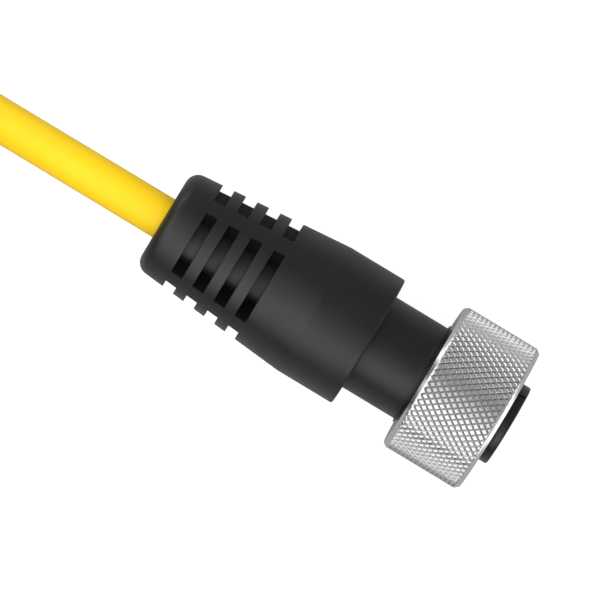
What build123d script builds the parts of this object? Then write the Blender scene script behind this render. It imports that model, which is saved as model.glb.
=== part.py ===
from build123d import *
from math import cos, pi, radians, sin, tan
import os

# A moulded cordset: a threaded, circular female connector on a round five-core cable.
# Millimetres. The connector lies on its coupling nut, X runs along it towards the mating
# face, Z is up, and the origin is on the floor under the middle of the connector's length.
# Stations along the connector are counted from the rear face of the grip.

# Moulded grip with its strain relief
rear_radius = 8.89
grip_radius = 11.42
taper_length = 28.0
barrel_length = 10.1
rear_round = 2.2
shoulder_round = 0.35
neck_radius = 8.375
neck_length = 13.4

# Windows through the strain relief
window_rows = 4
windows_around = 4
window_width = 2.0
window_pitch = 4.07
first_window = 6.5
window_arc = 70.0
window_turn = 9.3
window_core_radius = 6.0

# Contact carrier, whose flange traps the nut
flange_thickness = 2.0
flange_clearance = 0.45
spigot_radius = 7.2
spigot_length = 8.4

# Socket insert, which plugs into the mating half
insert_radius = 7.0
insert_length = 10.7
insert_chamfer = 0.35
keyway_width = 2.7
keyway_depth = 0.9
keyway_angle = 52.0
seal_groove_depth = 0.4

# Sealing ring
seal_section = 1.8

# Turned socket contacts
contact_count = 5
contact_circle_radius = 4.3
entry_radius = 1.0
entry_depth = 1.5
contact_radius = 1.45
contact_collar_radius = 1.85
contact_collar_length = 1.6
contact_bore_radius = 0.82
contact_bore_depth = 8.5
contact_slit = 0.3
contact_slit_length = 6.0
crimp_radius = 1.3
crimp_length = 5.5
crimp_waist = 0.3

# Premould round the crimps and the jacket's end
premould_radius = 6.2
premould_lap = 2.5
lock_groove_width = 1.6
lock_groove_depth = 0.5

# Coupling nut and the slip washer behind it
nut_bore_radius = 10.45
nut_sleeve_wall = 2.5
nut_length = 14.0
nut_chamfer = 0.65
nut_rear_wall = 2.9
nut_lead_in = 0.7
nut_clearance = 0.3
nut_play = 0.2
washer_width = 0.425
washer_thickness = 0.3
washer_clearance = 0.1
washer_gap = 0.2

# Cable
cable_diameter = 7.06
core_diameter = 1.9
core_lay_radius = 1.68
jacket_end = 24.0
floor_clearance = 0.02

# Cable's route from the grip to the hank, and how much of a run each bend may take
exit_straight = 13.6
drop_run = 24.2
landing_run = 16.0
arc_share = 0.45

# Hank: columns of turns side by side, each one layer lower than the column inside it
hank_columns = 2
hank_layers = 4
turn_gap = 0.04
inner_fold_in_diameters = 3.0
hank_straight = 63.8
entry_stub = 27.0
tail_stub = 22.0

# Ties round the hank's two straight sides
tie_width = 4.8
tie_thickness = 1.1
tie_from_fold = 21.0
tie_head_length = 6.6
tie_head_width = 6.4
tie_head_height = 4.3
tie_head_round = 0.6
tie_tail_height = 1.6
tie_tail_offset = 0.9

# Bare strands at the ends of the flying leads
strand_length = 7.0
strand_radius = 0.62

# Clearance between pieces that are moulded or pressed together
seat_clearance = 0.05

# Radii that follow from the nut's
nut_radius = nut_bore_radius + nut_sleeve_wall
flange_radius = nut_bore_radius - flange_clearance

# Stations that follow from the sizes
shoulder = taper_length + barrel_length
neck_end = shoulder + neck_length
flange_front = neck_end + flange_thickness
mating_face = flange_front + insert_length
spigot_rear = neck_end - spigot_length
nut_rear = neck_end - nut_play - nut_rear_wall
nut_front = nut_rear + nut_length
washer_front = nut_rear - washer_gap
contact_front = mating_face - entry_depth
crimp_rear = spigot_rear - crimp_length
premould_rear = jacket_end - premould_lap
lock_stations = [jacket_end + (spigot_rear - jacket_end) * share for share in (1 / 3, 2 / 3)]

# Places that follow from the sizes
rear_x = -mating_face / 2
axis_height = nut_radius
cable_radius = cable_diameter / 2
cable_rest = cable_radius + floor_clearance
core_radius = core_diameter / 2
core_rest = core_radius + floor_clearance
bend_x = rear_x - exit_straight
floor_x = bend_x - drop_run
hank_entry_x = floor_x - landing_run
front_fold_x = hank_entry_x - entry_stub
rear_fold_x = front_fold_x - hank_straight

# The hank's folds and the places of its tail and ties
turn_pitch = cable_diameter + turn_gap
inner_fold = inner_fold_in_diameters * cable_diameter
outer_fold = inner_fold + (hank_columns - 1) * turn_pitch
hank_middle_y = -inner_fold
tail_x = front_fold_x + tail_stub
tail_y = hank_middle_y - outer_fold
tie_x = rear_fold_x + tie_from_fold
tie_sides = {"tie_1": 1, "tie_2": -1}
tie_lift = tie_thickness + seat_clearance

spin = Axis((rear_x, 0, axis_height), (1, 0, 0))
profile_plane = Plane(origin=(rear_x, 0, axis_height), x_dir=(1, 0, 0), z_dir=(0, -1, 0))


def facing_x(x, y, z):
    """A plane square to X, with its own X along row Y and its own Y upwards."""
    return Plane(origin=(x, y, z), x_dir=(0, 1, 0), z_dir=(1, 0, 0))


def across(station):
    """The plane square to the connector's axis at a station."""
    return facing_x(rear_x + station, 0, axis_height)


def around(radius, number):
    """The place of a contact or core on its circle, counted round from the keyway."""
    turn = radians(keyway_angle + 360 / contact_count * (number + 0.5))
    return radius * cos(turn), radius * sin(turn)


def bundle(side, radius, lift=0.0):
    """The outline drawn tight round the turns on one side of the hank, seen along them.

    Each turn has this radius, and the lowest turns are raised by the lift.
    """
    places = []
    for column in range(hank_columns):
        for layer in range(hank_layers - column):
            raised = lift if layer == 0 else 0.0
            places.append((side * column * turn_pitch, cable_rest + layer * turn_pitch + raised))
    with BuildSketch() as outline:
        with Locations(*places):
            Circle(radius)
        make_hull()
    return outline.sketch


def bend_radii(points):
    """One arc for each corner, which takes the arc share of the shorter run beside it."""
    radii = []
    for before, corner, after in zip(points, points[1:], points[2:]):
        arriving = Vector(*corner) - Vector(*before)
        leaving = Vector(*after) - Vector(*corner)
        half_turn = radians(arriving.get_angle(leaving)) / 2
        radii.append(arc_share * min(arriving.length, leaving.length) / tan(half_turn))
    return radii


def route_tube(name, points, radius):
    """A round tube along straight runs joined by tangent arcs."""
    radii = bend_radii(points)
    start = Vector(*points[0])
    with BuildPart() as tube:
        with BuildLine() as route:
            FilletPolyline(*points, radius=radii)
        with BuildSketch(Plane(origin=start, z_dir=Vector(*points[1]) - start)):
            Circle(radius)
        sweep(path=route.wire())
    length = route.wire().length
    ideal = pi * radius**2 * length
    print(name, f"length {length:.1f}", "radii", [round(r, 1) for r in radii])
    print(name, f"volume {tube.part.volume:.1f}, section times length {ideal:.1f}")
    return tube


def write(piece, name):
    """Labels a finished piece and writes it as one STEP file."""
    piece.part.label = name
    export_step(piece.part, f"parts/{name}.step")


os.makedirs("parts", exist_ok=True)

# Grip: windowed strain relief, barrel and neck, moulded in one over the premould
with BuildPart() as grip:
    with BuildSketch(profile_plane) as grip_profile:
        with BuildLine():
            Polyline(
                (0, cable_radius),
                (0, rear_radius),
                (taper_length, grip_radius),
                (shoulder, grip_radius),
                (shoulder, neck_radius),
                (neck_end, neck_radius),
                (neck_end, spigot_radius + seat_clearance),
                (spigot_rear, spigot_radius + seat_clearance),
                (spigot_rear, premould_radius + seat_clearance),
                (premould_rear, premould_radius + seat_clearance),
                (premould_rear, cable_radius),
                close=True,
            )
        make_face()
        fillet(grip_profile.vertices().group_by(Axis.X)[0].sort_by(Axis.Y)[-1], rear_round)
        fillet(grip_profile.vertices().group_by(Axis.Y)[-1].sort_by(Axis.X)[-1], shoulder_round)
        for station in lock_stations:
            with Locations((station, premould_radius + seat_clearance)):
                Rectangle(lock_groove_width - 2 * seat_clearance, 2 * lock_groove_depth)
    revolve(axis=spin)
    for row in range(window_rows):
        with BuildSketch(across(first_window + row * window_pitch - window_width / 2)):
            for quarter in range(windows_around):
                start = 90 + window_turn - window_arc / 2 + quarter * 360 / windows_around
                with BuildLine():
                    floor_arc = CenterArc((0, 0), window_core_radius, start, window_arc)
                    mouth_arc = CenterArc((0, 0), grip_radius + window_width, start, window_arc)
                    Line(floor_arc @ 0, mouth_arc @ 0)
                    Line(floor_arc @ 1, mouth_arc @ 1)
                make_face()
        extrude(amount=window_width, mode=Mode.SUBTRACT)
write(grip, "grip")

# Contact carrier: spigot and flange, with a stepped bore for each contact
contact_places = [around(contact_circle_radius, number) for number in range(contact_count)]
with BuildPart() as contact_carrier:
    with BuildSketch(across(spigot_rear)):
        Circle(spigot_radius)
    extrude(amount=spigot_length)
    with BuildSketch(across(neck_end)):
        Circle(flange_radius)
    extrude(amount=flange_thickness)
    with BuildSketch(across(spigot_rear)):
        with Locations(*contact_places):
            Circle(contact_collar_radius + seat_clearance)
    extrude(amount=contact_collar_length, mode=Mode.SUBTRACT)
    with BuildSketch(across(spigot_rear)):
        with Locations(*contact_places):
            Circle(contact_radius + seat_clearance)
    extrude(amount=flange_front - spigot_rear, mode=Mode.SUBTRACT)
write(contact_carrier, "contact_carrier")

# Socket insert on the carrier's front: seal groove, keyway, and bores that narrow to the entries
with BuildPart() as socket_insert:
    with BuildSketch(profile_plane) as insert_profile:
        with BuildLine():
            Polyline(
                (flange_front, 0),
                (flange_front, insert_radius - seal_groove_depth),
                (flange_front + seal_section, insert_radius - seal_groove_depth),
                (flange_front + seal_section, insert_radius),
                (mating_face, insert_radius),
                (mating_face, 0),
                close=True,
            )
        make_face()
        chamfer(insert_profile.vertices().group_by(Axis.X)[-1].sort_by(Axis.Y)[-1], insert_chamfer)
    revolve(axis=spin)
    with BuildSketch(across(flange_front + seal_section)):
        with PolarLocations(insert_radius, 1, start_angle=keyway_angle):
            Rectangle(2 * keyway_depth, keyway_width)
    extrude(amount=insert_length, mode=Mode.SUBTRACT)
    with BuildSketch(across(flange_front)):
        with Locations(*contact_places):
            Circle(contact_radius + seat_clearance)
    extrude(amount=contact_front - flange_front, mode=Mode.SUBTRACT)
    with BuildSketch(across(contact_front)):
        with Locations(*contact_places):
            Circle(entry_radius)
    extrude(amount=entry_depth, mode=Mode.SUBTRACT)
write(socket_insert, "socket_insert")

# Sealing ring in the groove at the foot of the insert
with BuildPart() as sealing_ring:
    with BuildSketch(profile_plane):
        ring_centre = insert_radius - seal_groove_depth + seal_section / 2
        with Locations((flange_front + seal_section / 2, ring_centre)):
            Circle((seal_section - seat_clearance) / 2)
    revolve(axis=spin)
write(sealing_ring, "sealing_ring")

# Premould: grips the jacket's end, holds the cores and crimps, and keys into the grip
with BuildPart() as premould:
    with BuildSketch(profile_plane):
        with BuildLine():
            Polyline(
                (premould_rear, cable_radius + seat_clearance),
                (premould_rear, premould_radius),
                (spigot_rear, premould_radius),
                (spigot_rear, 0),
                (jacket_end, 0),
                (jacket_end, cable_radius + seat_clearance),
                close=True,
            )
        make_face()
        for station in lock_stations:
            with Locations((station, premould_radius + seat_clearance)):
                Rectangle(
                    lock_groove_width,
                    2 * lock_groove_depth + 2 * seat_clearance,
                    mode=Mode.SUBTRACT,
                )
    revolve(axis=spin)
    for number in range(contact_count):
        with BuildSketch(across(jacket_end)):
            with Locations(around(core_lay_radius, number)):
                Circle(core_radius + seat_clearance)
        with BuildSketch(across(crimp_rear)):
            with Locations(around(contact_circle_radius, number)):
                Circle(core_radius + seat_clearance)
        loft(mode=Mode.SUBTRACT)
        with BuildSketch(across(crimp_rear)):
            with Locations(around(contact_circle_radius, number)):
                Circle(crimp_radius + seat_clearance)
        extrude(amount=crimp_length, mode=Mode.SUBTRACT)
write(premould, "premould")

# Socket contacts: crimp barrel, collar and slotted sleeve, turned in one
collar_front = spigot_rear + contact_collar_length - seat_clearance
sleeve_front = contact_front - seat_clearance
for number in range(contact_count):
    contact_y, contact_z = around(contact_circle_radius, number)
    contact_origin = (rear_x, contact_y, axis_height + contact_z)
    with BuildPart() as socket_contact:
        with BuildSketch(Plane(origin=contact_origin, x_dir=(1, 0, 0), z_dir=(0, -1, 0))):
            with BuildLine():
                Polyline(
                    (crimp_rear, 0),
                    (crimp_rear, crimp_radius),
                    (crimp_rear + crimp_length / 4, crimp_radius),
                    (crimp_rear + crimp_length / 2, crimp_radius - crimp_waist),
                    (crimp_rear + crimp_length * 3 / 4, crimp_radius),
                    (spigot_rear, crimp_radius),
                    (spigot_rear, contact_collar_radius),
                    (collar_front, contact_collar_radius),
                    (collar_front, contact_radius),
                    (sleeve_front, contact_radius),
                    (sleeve_front, contact_bore_radius),
                    (sleeve_front - contact_bore_depth, contact_bore_radius),
                    (sleeve_front - contact_bore_depth, 0),
                    close=True,
                )
            make_face()
        revolve(axis=Axis(contact_origin, (1, 0, 0)))
        with BuildSketch(across(sleeve_front - contact_slit_length)):
            with Locations((contact_y, contact_z)):
                Rectangle(3 * contact_radius, contact_slit)
                Rectangle(contact_slit, 3 * contact_radius)
        extrude(amount=contact_slit_length, mode=Mode.SUBTRACT)
    write(socket_contact, f"socket_contact_{number + 1}")

# Cores of the cable, splayed from the jacket's end to the crimps
for number in range(contact_count):
    with BuildPart() as core:
        with BuildSketch(across(jacket_end)):
            with Locations(around(core_lay_radius, number)):
                Circle(core_radius)
        with BuildSketch(across(crimp_rear)):
            with Locations(around(contact_circle_radius, number)):
                Circle(core_radius)
        loft()
    write(core, f"core_{number + 1}")

# Coupling nut: a sleeve whose rear wall is trapped behind the carrier's flange
with BuildPart() as coupling_nut:
    with BuildSketch(profile_plane) as nut_profile:
        with BuildLine():
            Polyline(
                (nut_rear, neck_radius + nut_clearance),
                (nut_rear, nut_radius),
                (nut_front, nut_radius),
                (nut_front, nut_bore_radius),
                (nut_rear + nut_rear_wall, nut_bore_radius),
                (nut_rear + nut_rear_wall, neck_radius + nut_clearance),
                close=True,
            )
        make_face()
        chamfer(nut_profile.vertices().group_by(Axis.X)[-1].sort_by(Axis.Y)[0], nut_lead_in)
        chamfer(nut_profile.vertices().group_by(Axis.Y)[-1], nut_chamfer)
    revolve(axis=spin)
write(coupling_nut, "coupling_nut")

# Slip washer that rides on the neck behind the nut
with BuildPart() as slip_washer:
    washer_bore_radius = neck_radius + washer_clearance
    with BuildSketch(across(washer_front - washer_thickness)):
        Circle(washer_bore_radius + washer_width)
        Circle(washer_bore_radius, mode=Mode.SUBTRACT)
    extrude(amount=washer_thickness)
write(slip_washer, "slip_washer")

# Cable from the jacket's end, out of the grip and down to the floor
cable_points = [
    (rear_x + jacket_end, 0, axis_height),
    (bend_x, 0, axis_height),
    (floor_x, 0, cable_rest),
    (hank_entry_x, 0, cable_rest),
]
cable_run = route_tube("cable_run", cable_points, cable_radius)
write(cable_run, "cable_run")

# Hank: the outer shape of the tied turns, with the incoming cable and the tail as round stubs
with BuildPart() as cable_hank:
    with BuildLine() as hank_way:
        near_side = Line((rear_fold_x, 0), (front_fold_x, 0))
        front_fold = RadiusArc(near_side @ 1, (front_fold_x, 2 * hank_middle_y), inner_fold)
        far_side = Line(front_fold @ 1, (rear_fold_x, 2 * hank_middle_y))
        RadiusArc(far_side @ 1, near_side @ 0, inner_fold)
    with BuildSketch(facing_x(rear_fold_x, 0, 0)):
        add(bundle(1, cable_radius))
    sweep(path=hank_way.wire())
    for stub_y, stub_length in ((0, entry_stub), (tail_y, tail_stub)):
        with BuildSketch(facing_x(front_fold_x, stub_y, cable_rest)):
            Circle(cable_radius)
        extrude(amount=stub_length)
    groove_width = tie_width + 2 * seat_clearance
    for side in tie_sides.values():
        with BuildSketch(facing_x(tie_x - groove_width / 2, hank_middle_y + side * inner_fold, 0)):
            with Locations((0, (cable_rest + tie_lift) / 2)):
                Rectangle(4 * turn_pitch, cable_rest + tie_lift)
            add(bundle(side, cable_radius, tie_lift), mode=Mode.SUBTRACT)
        extrude(amount=groove_width, mode=Mode.SUBTRACT)
write(cable_hank, "cable_hank")

# Ties: a strap drawn tight round the turns, its head on the highest turn, and its cut tail
strap_inside = cable_radius + seat_clearance
head_bottom = cable_rest + (hank_layers - 1) * turn_pitch + strap_inside
head_top = head_bottom + tie_head_height
for name, side in tie_sides.items():
    head_y = hank_middle_y + side * inner_fold
    with BuildPart() as tie:
        with BuildSketch(facing_x(tie_x - tie_width / 2, head_y, 0)):
            add(bundle(side, strap_inside + tie_thickness, tie_lift))
            add(bundle(side, strap_inside, tie_lift), mode=Mode.SUBTRACT)
        extrude(amount=tie_width)
        with BuildSketch(Plane.XY.offset(head_bottom)):
            with Locations((tie_x, head_y)):
                Rectangle(tie_head_length, tie_head_width)
        extrude(amount=tie_head_height)
        fillet(tie.faces().sort_by(Axis.Z)[-1].edges(), tie_head_round)
        with BuildSketch(Plane.XY.offset(head_top)):
            with Locations((tie_x, head_y - side * tie_tail_offset)):
                Rectangle(tie_width, tie_thickness)
        extrude(amount=tie_tail_height)
    write(tie, name)

# Flying leads: they leave the jacket's end, come down to the floor and fan out.
# Each has its place in the cable's section, then its Y offsets at the floor, midway and tip.
lead_ways = {
    "lead_black": (162, -2.5, -2.65, -2.3),
    "lead_blue": (234, 1.6, 2.7, 3.7),
    "lead_green_yellow": (90, 4.1, 6.3, 8.2),
    "lead_brown": (306, 6.6, 9.7, 12.3),
    "lead_white": (18, 10.9, 14.7, 17.6),
}
lead_steps = (9.0, 24.0, 33.0, 40.0)
strand_starts = []
for name, (section_angle, *offsets) in lead_ways.items():
    leaving_y = tail_y + core_lay_radius * cos(radians(section_angle))
    leaving_z = cable_rest + core_lay_radius * sin(radians(section_angle))
    lead_points = [(tail_x, leaving_y, leaving_z), (tail_x + lead_steps[0], leaving_y, leaving_z)]
    for step, offset in zip(lead_steps[1:], offsets):
        lead_points.append((tail_x + step, tail_y + offset, core_rest))
    lead = route_tube(name, lead_points, core_radius)
    write(lead, name)
    tip = Vector(*lead_points[-1])
    strand_starts.append(Plane(origin=tip, z_dir=tip - Vector(*lead_points[-2])))

# Bare strands, one bundle at each lead's tip
with BuildPart() as strand_tips:
    for strand_start in strand_starts:
        with BuildSketch(strand_start):
            Circle(strand_radius)
        extrude(amount=strand_length)
write(strand_tips, "strand_tips")
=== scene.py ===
from math import asin, atan2, cos, pi, radians, sin, tan

import bmesh
import bpy
from bpy.props import FloatProperty, FloatVectorProperty, IntProperty, PointerProperty
from mathutils import Matrix, Vector


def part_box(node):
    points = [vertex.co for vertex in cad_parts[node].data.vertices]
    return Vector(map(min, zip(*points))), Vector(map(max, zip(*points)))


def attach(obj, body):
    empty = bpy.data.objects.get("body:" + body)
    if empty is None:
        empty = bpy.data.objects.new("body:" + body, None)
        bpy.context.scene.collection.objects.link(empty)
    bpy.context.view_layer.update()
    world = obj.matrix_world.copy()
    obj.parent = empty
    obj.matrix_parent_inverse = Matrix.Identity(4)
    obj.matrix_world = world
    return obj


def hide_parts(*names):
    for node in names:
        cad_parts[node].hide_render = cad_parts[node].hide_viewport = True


bl_info = {
    "name": "Connector cable",
    "version": (1, 0, 0),
    "blender": (4, 5, 0),
    "location": "3D View > Sidebar > Connector cable",
    "description": "Dresses a moulded circular connector and its tied cable",
    "category": "Object",
}

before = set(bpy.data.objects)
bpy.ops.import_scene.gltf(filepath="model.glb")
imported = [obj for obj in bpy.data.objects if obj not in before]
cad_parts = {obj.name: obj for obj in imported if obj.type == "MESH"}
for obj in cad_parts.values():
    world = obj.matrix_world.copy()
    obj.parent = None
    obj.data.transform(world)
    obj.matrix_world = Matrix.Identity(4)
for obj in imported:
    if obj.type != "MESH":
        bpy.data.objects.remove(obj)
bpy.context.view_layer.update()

mm = 0.001
# Places on the connector: stations run along its axis from the grip's rear face
grip_low, grip_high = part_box("grip")
nut_low, nut_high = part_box("coupling_nut")
insert_low, insert_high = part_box("socket_insert")
rear_x = grip_low.x
axis_z = (nut_low.z + nut_high.z) / 2
mating_face = insert_high.x - rear_x
neck_end = grip_high.x - rear_x
flange_front = insert_low.x - rear_x
nut_rear = nut_low.x - rear_x
nut_front = nut_high.x - rear_x


# Sizes and colours that a user may change

def length(name, description, millimetres):
    """A length in metres, with its default written in millimetres."""
    return FloatProperty(
        name=name, description=description, default=millimetres * mm, min=0, unit="LENGTH", precision=5)


def angle(name, description, degrees):
    """An angle, with its default written in degrees."""
    return FloatProperty(name=name, description=description, default=radians(degrees), subtype="ANGLE")


def tint(name, description, colour):
    """A colour in linear light."""
    return FloatVectorProperty(
        name=name, description=description, default=colour, subtype="COLOR", min=0, max=1)


class GripSizes(bpy.types.PropertyGroup):
    """The moulded grip and the windows through its strain relief."""
    rear_radius: length("Rear radius", "Radius of the strain relief where the cable leaves it", 8.89)
    barrel_radius: length("Barrel radius", "Radius of the straight barrel", 11.42)
    taper_length: length("Taper length", "Length of the tapered strain relief", 28.0)
    barrel_length: length("Barrel length", "Length of the straight barrel", 10.1)
    neck_radius: length("Neck radius", "Radius of the neck that the nut slides back over", 8.375)
    rear_round: length("Rear round", "Round on the rear edge", 2.2)
    window_width: length("Window width", "Width of a window along the grip", 2.0)
    window_pitch: length("Window pitch", "Distance from one row of windows to the next", 4.07)
    first_window: length("First window", "Distance from the rear face to the middle of the first row", 6.38)
    window_core: length("Window core radius", "Radius of the core at the bottom of the windows", 6.0)
    window_round: length("Window edge", "Round on the edges of the windows", 0.09)
    window_rows: IntProperty(name="Window rows", description="Rows along the grip", default=4, min=1)
    window_arc: angle("Window arc", "Angle that one window spans", 72.5)
    window_turn: angle("Window turn", "Angle of the top window from the vertical", 9.3)


class NutSizes(bpy.types.PropertyGroup):
    """The knurl and the thread of the coupling nut."""
    chamfer: length("Chamfer", "Length of the chamfer at both ends of the knurl", 0.68)
    chamfer_depth: length("Chamfer depth", "How far the chamfer comes in from the knurl's crests", 0.55)
    knurl_fade: length("Knurl fade", "Length over which the knurl's grooves run out at the chamfers", 0.2)
    knurl_depth: length("Knurl depth", "Depth of the knurl's grooves", 0.25)
    knurl_starts: IntProperty(name="Knurl starts", description="Grooves each way", default=72, min=8)
    knurl_angle: angle("Knurl angle", "Angle of the grooves to the axis", 36)
    bore_radius: length("Bore radius", "Radius of the thread's crests", 10.45)
    thread_pitch: length("Thread pitch", "Distance from one turn of the thread to the next", 1.5875)
    thread_depth: length("Thread depth", "Depth of the thread", 0.86)
    rear_wall: length("Rear wall", "Thickness of the wall behind the flange", 2.9)
    rear_hole: length("Rear hole radius", "Radius of the hole that runs on the neck", 8.675)
    lead_in: length("Lead-in", "Chamfer at the mouth of the thread", 0.7)


class InsertSizes(bpy.types.PropertyGroup):
    """The socket insert and its seal."""
    radius: length("Radius", "Radius of the insert", 7.0)
    entry_radius: length("Entry radius", "Radius of a contact's entry hole", 1.0)
    entry_depth: length("Entry depth", "Depth of the entry hole in front of the contact", 1.5)
    bore_radius: length("Contact bore radius", "Radius of the bore that holds a contact", 1.5)
    circle_radius: length("Contact circle radius", "Radius of the circle that the contacts stand on", 4.3)
    keyway_width: length("Keyway width", "Width of the keyway", 2.8)
    keyway_depth: length("Keyway depth", "Depth of the keyway", 0.4)
    keyway_turn: angle("Keyway turn", "Angle of the keyway from the side", 52)
    groove_depth: length("Groove depth", "Depth of the groove for the seal", 0.4)
    seal_section: length("Seal section", "Diameter of the seal's section", 1.8)
    edge: length("Edge", "Round on the insert's edges", 0.25)


class CableSizes(bpy.types.PropertyGroup):
    """The cable, its cores and the hank that it is wound in."""
    diameter: length("Diameter", "Diameter of the jacket", 7.06)
    core_diameter: length("Core diameter", "Diameter of an insulated core", 1.9)
    cord_length: FloatProperty(name="Length", description="Length of the cable", default=2.0, unit="LENGTH")
    rest_gap: length("Rest gap", "Gap between the cable and what it lies on", 0.02)
    turn_gap: length("Turn gap", "Gap between one turn and the next", 0.04)
    hank_straight: length("Hank straight", "Length of the hank's straight sides", 63.8)
    tie_width: length("Tie width", "Width of a tie's strap", 4.8)
    tie_thickness: length("Tie thickness", "Thickness of a tie's strap", 1.1)
    strand_length: length("Strand length", "Length of the bare strands", 6.0)
    strand_bundle: length("Strand bundle radius", "Radius of a core's bundle of strands", 0.62)


class Finishes(bpy.types.PropertyGroup):
    """The colours of the pieces."""
    grip: tint("Grip", "Moulded grip", (0.003, 0.003, 0.003))
    insert: tint("Insert", "Socket insert and contact carrier", (0.003, 0.003, 0.003))
    seal: tint("Seal", "Sealing ring", (0.01, 0.01, 0.01))
    nickel: tint("Nickel", "Plated coupling nut", (0.68, 0.68, 0.68))
    # Painted shade and grime: the nickel's darker colour in the knurl's grooves and the thread's roots
    nickel_groove_shade_and_grime: tint("Nickel grooves", "Plating in the knurl's grooves", (0.42, 0.42, 0.42))
    washer: tint("Washer", "Slip washer", (0.03, 0.03, 0.03))
    gold: tint("Contacts", "Plated contacts", (0.86, 0.6, 0.22))
    gold_shade: tint("Contact shade", "Dull places of the contacts", (0.45, 0.28, 0.08))
    copper: tint("Copper", "Bare strands", (0.85, 0.42, 0.24))
    copper_shade: tint("Copper shade", "Dull places of the strands", (0.35, 0.14, 0.06))
    jacket: tint("Jacket", "Cable jacket", (1.0, 0.64, 0.006))
    stripe: tint("Stripe", "Yellow stripes of the green lead", (0.9, 0.62, 0.02))
    tie: tint("Tie", "Ties round the hank", (0.016, 0.016, 0.017))
    floor: tint("Floor", "Floor under the object", (0.36, 0.36, 0.36))


# Mesh helpers

def on_axis(station, radius, turn):
    """A place by its station along the connector, its radius and its turn from the side."""
    return Vector((rear_x + station, radius * cos(turn), axis_z + radius * sin(turn)))


def rounded(corners, steps=5):
    """The points of a closed outline of (station, radius, round) corners, with arcs at the rounds."""
    points = []
    for number, (station, radius, ease) in enumerate(corners):
        here = Vector((station, radius))
        if not ease:
            points.append(here)
            continue
        before = (Vector(corners[number - 1][:2]) - here).normalized()
        after = (Vector(corners[(number + 1) % len(corners)][:2]) - here).normalized()
        half = before.angle(after) / 2
        centre = here + (before + after).normalized() * ease / sin(half)
        start = here + before * ease / tan(half) - centre
        end = here + after * ease / tan(half) - centre
        first = atan2(start.y, start.x)
        turn = (atan2(end.y, end.x) - first + pi) % (2 * pi) - pi
        for step in range(steps + 1):
            way = first + turn * step / steps
            points.append(centre + Vector((cos(way), sin(way))) * ease)
    return points


def band(here, after, columns):
    """The faces between two closed rings of vertices, given each ring's first vertex."""
    faces = []
    for column in range(columns):
        beside = (column + 1) % columns
        faces.append((here + column, here + beside, after + beside, after + column))
    return faces


def turned(profile, columns=160):
    """Vertices and faces of a closed profile turned about the connector's axis."""
    verts = [on_axis(p.x, p.y, 2 * pi * c / columns) for p in profile for c in range(columns)]
    faces = []
    for row in range(len(profile)):
        faces += band(row * columns, (row + 1) % len(profile) * columns, columns)
    return verts, faces


def radius_of(place):
    """A place's distance from the connector's axis."""
    return Vector((place.y, place.z - axis_z)).length


def from_bmesh(shape):
    """A bmesh's vertices and faces, and the end of the bmesh."""
    shape.verts.index_update()
    verts = [v.co.copy() for v in shape.verts]
    faces = [tuple(v.index for v in f.verts) for f in shape.faces]
    shape.free()
    return verts, faces


def evaluated(name, data):
    """The mesh that a curve's data gives, through an object that is gone afterwards."""
    holder = bpy.data.objects.new(name, data)
    bpy.context.scene.collection.objects.link(holder)
    graph = bpy.context.evaluated_depsgraph_get()
    mesh = bpy.data.meshes.new_from_object(holder.evaluated_get(graph))
    bpy.data.objects.remove(holder)
    return mesh


def piece(name, verts, faces, materials, sharp=35, body="connector", slot=None):
    """A smooth-shaded mesh piece with outward normals that rides on a body."""
    mesh = bpy.data.meshes.new(name)
    mesh.from_pydata([tuple(v) for v in verts], [], faces)
    tidy = bmesh.new()
    tidy.from_mesh(mesh)
    bmesh.ops.recalc_face_normals(tidy, faces=tidy.faces)
    tidy.to_mesh(mesh)
    tidy.free()
    made = bpy.data.objects.new(name, mesh)
    bpy.context.scene.collection.objects.link(made)
    for material in materials:
        mesh.materials.append(material)
    mesh.polygons.foreach_set("use_smooth", [True] * len(mesh.polygons))
    mesh.set_sharp_from_angle(angle=radians(sharp))
    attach(made, body)
    return made


def eased_edges(made, width, clear_of, sharp=radians(40)):
    """Rounds the sharp edges that stay outside a radius from the connector's axis."""
    shape = bmesh.new()
    shape.from_mesh(made.data)
    weight = shape.edges.layers.float.new("bevel_weight_edge")
    for edge in shape.edges:
        inside = min(radius_of(v.co) for v in edge.verts) < clear_of
        edge[weight] = 0.0 if inside or edge.calc_face_angle(0.0) < sharp else 1.0
    shape.to_mesh(made.data)
    shape.free()
    bevel = made.modifiers.new("edge", "BEVEL")
    bevel.width = width
    bevel.segments = 2
    bevel.limit_method = "WEIGHT"
    bevel.harden_normals = True


# Materials

# A colour Mix node's sockets, by number because their names repeat
FACTOR, FIRST, SECOND, RESULT = 0, 6, 7, 2

def add_node(tree, kind, sockets=(), **settings):
    """A node with its settings, and its sockets linked or filled in."""
    made = tree.nodes.new(kind)
    for name, value in settings.items():
        setattr(made, name, value)
    for name, value in dict(sockets).items():
        if isinstance(value, bpy.types.NodeSocket):
            tree.links.new(value, made.inputs[name])
        else:
            made.inputs[name].default_value = value
    return made


def noise(tree, place, scale, detail, roughness):
    """The value of a noise at a place."""
    return add_node(tree, "ShaderNodeTexNoise", {
        "Vector": place, "Scale": scale, "Detail": detail, "Roughness": roughness}).outputs["Fac"]


def effect_with(name, colours, values):
    """An empty shader group that gives a colour, roughness and height, and its two end nodes."""
    group = bpy.data.node_groups.new(name, "ShaderNodeTree")
    for side, sockets, kind in (
        ("INPUT", colours, "NodeSocketColor"), ("INPUT", values, "NodeSocketFloat"),
        ("OUTPUT", ("Colour",), "NodeSocketColor"), ("OUTPUT", ("Roughness", "Height"), "NodeSocketFloat"),
    ):
        for socket in sockets:
            group.interface.new_socket(socket, in_out=side, socket_type=kind)
    return group, group.nodes.new("NodeGroupInput").outputs, group.nodes.new("NodeGroupOutput").inputs


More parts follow.
